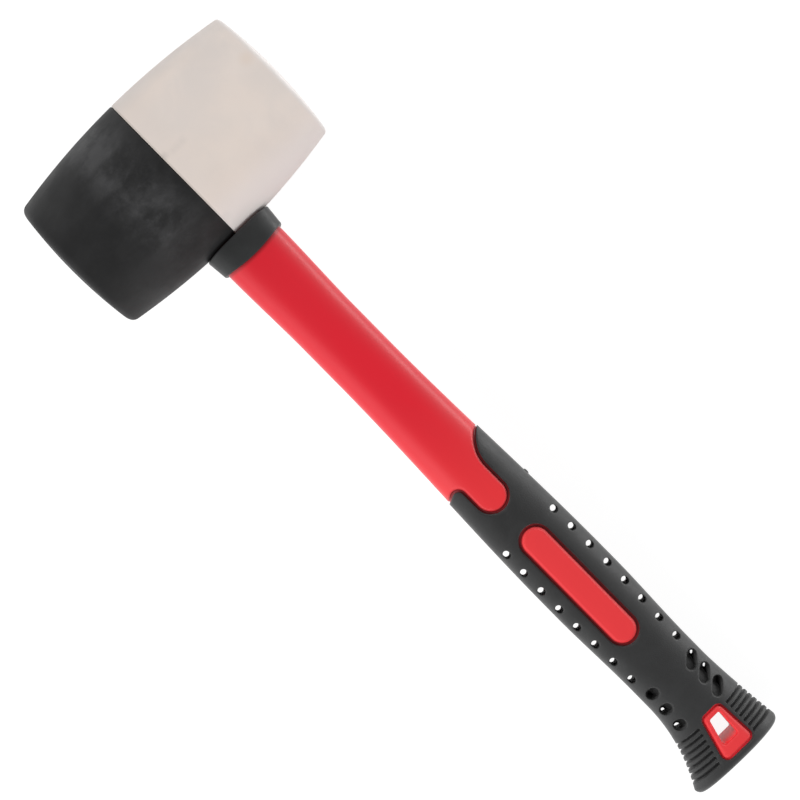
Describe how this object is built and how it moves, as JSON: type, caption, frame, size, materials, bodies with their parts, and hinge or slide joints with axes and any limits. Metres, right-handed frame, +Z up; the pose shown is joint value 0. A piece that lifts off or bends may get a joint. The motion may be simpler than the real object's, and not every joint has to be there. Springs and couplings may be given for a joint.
{
  "type": "soft face hammer",
  "caption": "Rubber mallet with a two-colour barrel head, black collar, red moulded shaft and a black perforated soft grip that flares to a ribbed butt with a hang hole.",
  "frame": {"origin": "centre of the bottom of the bounding box, with the handle's axis level at the head's radius above it", "axes": "+X along the handle from the head to the butt, +Y along the head from the black face to the white face, +Z up through the handle's thickness"},
  "size_m": [0.3262, 0.103, 0.0648],
  "materials": {
    "black_rubber": "matte black rubber with paler rub marks",
    "white_rubber": "matte warm white non-marking rubber",
    "cured_adhesive": "cured adhesive, not seen",
    "collar_plastic": "satin black plastic",
    "red_plastic": "satin red moulded plastic",
    "fibreglass": "pultruded fibreglass rod, not seen",
    "soft_grip": "fine-grained matte black soft grip"
  },
  "bodies": {
    "root": {"black_head_half": "black_rubber", "white_head_half": "white_rubber", "eye_adhesive": "cured_adhesive", "neck_collar": "collar_plastic", "handle_jacket": "red_plastic", "fibreglass_core": "fibreglass", "grip_sleeve": "soft_grip"}
  },
  "joints": []
}
